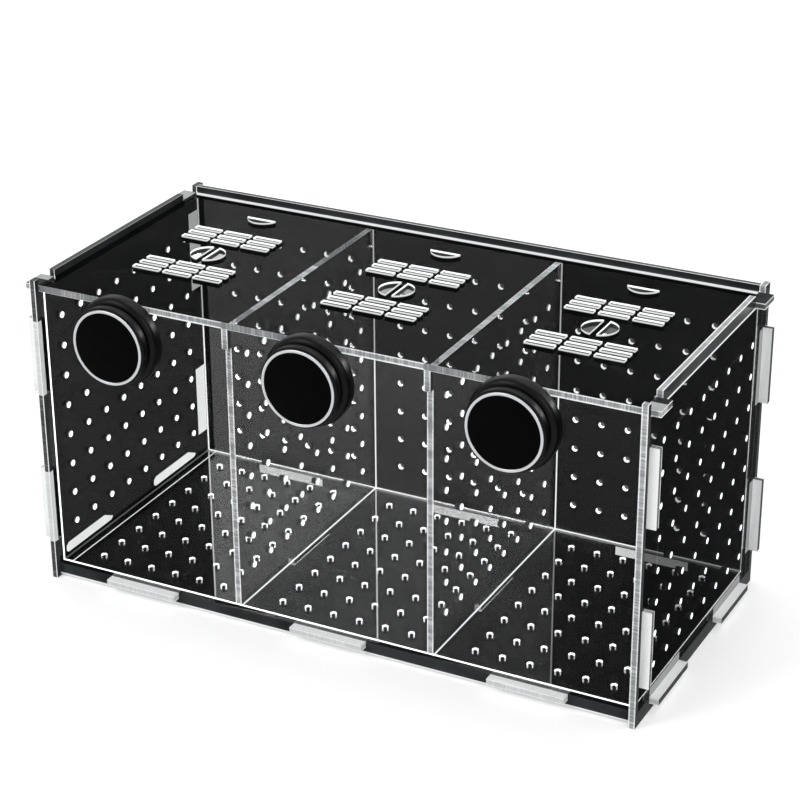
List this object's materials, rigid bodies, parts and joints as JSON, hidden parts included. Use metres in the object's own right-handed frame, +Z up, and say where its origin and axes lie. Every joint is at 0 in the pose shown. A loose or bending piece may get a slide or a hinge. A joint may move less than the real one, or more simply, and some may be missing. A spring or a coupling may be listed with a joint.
{
  "type": "fish breeding box",
  "caption": "Rectangular aquarium isolation box of slotted dark sheets with water holes, compartments, a vented lift-off lid and magnetic clamps for the glass.",
  "frame": {"origin": "middle of the bounding box, on the plane of the side panels' lower edges", "axes": "+X to the right seen from the front, +Y from the clamps to the rear panel, +Z up"},
  "size_m": [0.3086, 0.1572, 0.1535],
  "materials": {
    "sheet": "clear smoked cast acrylic, laser-cut edges",
    "lid_sheet": "clear smoked cast acrylic, laser-cut edges",
    "housing": "moulded, satin",
    "face": "polished",
    "trim": "satin plated",
    "magnet": "nickel plated",
    "pad": "matt",
    "screw": "turned, stainless"
  },
  "bodies": {
    "box": {"left_side_panel": "sheet", "right_side_panel": "sheet", "front_panel": "sheet", "rear_panel": "sheet", "floor_panel": "sheet", "left_divider": "sheet", "right_divider": "sheet", "fixing_screws": "screw", "left_inner_housing": "housing", "left_inner_magnet": "magnet", "left_inner_pad": "pad", "middle_inner_housing": "housing", "middle_inner_magnet": "magnet", "middle_inner_pad": "pad", "right_inner_housing": "housing", "right_inner_magnet": "magnet", "right_inner_pad": "pad"},
    "lid": {"lid": "lid_sheet"},
    "left_clamp": {"left_outer_pad": "pad", "left_outer_housing": "housing", "left_outer_magnet": "magnet", "left_trim_ring": "trim", "left_face_disc": "face"},
    "middle_clamp": {"middle_outer_pad": "pad", "middle_outer_housing": "housing", "middle_outer_magnet": "magnet", "middle_trim_ring": "trim", "middle_face_disc": "face"},
    "right_clamp": {"right_outer_pad": "pad", "right_outer_housing": "housing", "right_outer_magnet": "magnet", "right_trim_ring": "trim", "right_face_disc": "face"}
  },
  "joints": [
    {"name": "lid_lift", "type": "slide", "parent": "box", "child": "lid", "axis": [0, 0, 1], "range_m": [0, 0.06]},
    {"name": "left_clamp_pull", "type": "slide", "parent": "box", "child": "left_clamp", "axis": [0, -1, 0], "range_m": [0, 0.03]},
    {"name": "middle_clamp_pull", "type": "slide", "parent": "box", "child": "middle_clamp", "axis": [0, -1, 0], "range_m": [0, 0.03]},
    {"name": "right_clamp_pull", "type": "slide", "parent": "box", "child": "right_clamp", "axis": [0, -1, 0], "range_m": [0, 0.03]}
  ]
}
